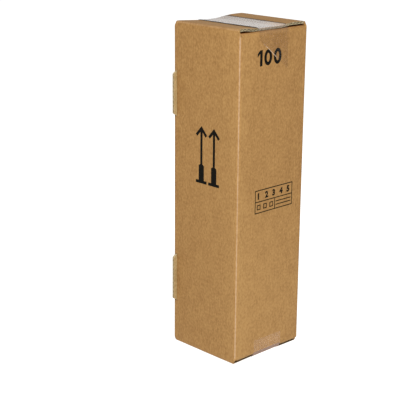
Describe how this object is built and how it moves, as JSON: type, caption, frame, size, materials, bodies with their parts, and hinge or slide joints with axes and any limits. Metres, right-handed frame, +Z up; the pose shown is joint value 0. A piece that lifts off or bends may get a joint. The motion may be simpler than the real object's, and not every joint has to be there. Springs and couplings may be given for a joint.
{
  "type": "corrugated shipping box",
  "caption": "Tall, nearly square corrugated shipping box, sealed with clear tape over folded end flaps, with lock tabs of the inner back panel at a corner.",
  "frame": {"origin": "middle of the base, on the underside of the bottom tape, which the box stands on", "axes": "+Z up along the height; the number face looks along -Y and the arrow face along -X"},
  "size_m": [0.1312, 0.1212, 0.4493],
  "materials": {
    "kraft_board": "matte",
    "clear_film": "glossy"
  },
  "bodies": {
    "root": {"carton": "kraft_board", "top_tape": "clear_film", "bottom_tape": "clear_film"}
  },
  "joints": []
}
